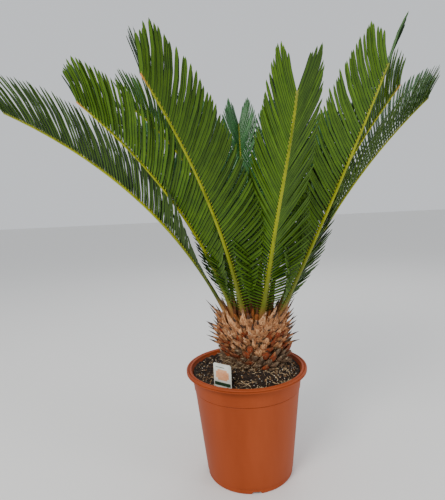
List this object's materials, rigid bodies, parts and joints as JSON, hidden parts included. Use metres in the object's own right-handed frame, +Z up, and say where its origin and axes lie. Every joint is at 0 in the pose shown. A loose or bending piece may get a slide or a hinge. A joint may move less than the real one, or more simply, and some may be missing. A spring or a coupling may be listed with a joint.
{
  "type": "potted sago palm",
  "caption": "Young sago palm, a cycad with a squat scaly trunk and arching feather fronds, growing in a round terracotta-coloured plastic nursery pot of compost.",
  "frame": {"origin": "middle of the pot's flat underside, on the surface that it stands on", "axes": "+Z up along the pot's axis, -Y towards the viewer of the picture, +X to that viewer's right"},
  "size_m": [0.7974, 0.5062, 0.7917],
  "materials": {
    "pot_plastic": "satin moulded plastic",
    "compost": "loose dark compost",
    "label_card": "plain pale plastic label",
    "trunk_scales": "dry papery leaf bases",
    "bud_bracts": "dry fibrous bracts",
    "frond_green": "waxy green leaf"
  },
  "bodies": {
    "root": {"pot": "pot_plastic", "soil": "compost", "plant_label": "label_card", "trunk": "trunk_scales", "crown_bud": "bud_bracts", "frond_left_low": "frond_green", "frond_left_front": "frond_green", "frond_left_back": "frond_green", "frond_front_left": "frond_green", "frond_front": "frond_green", "frond_front_right": "frond_green", "frond_right_front": "frond_green", "frond_right_low": "frond_green", "frond_right_back": "frond_green", "frond_back_right": "frond_green", "frond_back": "frond_green", "frond_back_left": "frond_green", "frond_left_far": "frond_green"}
  },
  "joints": []
}
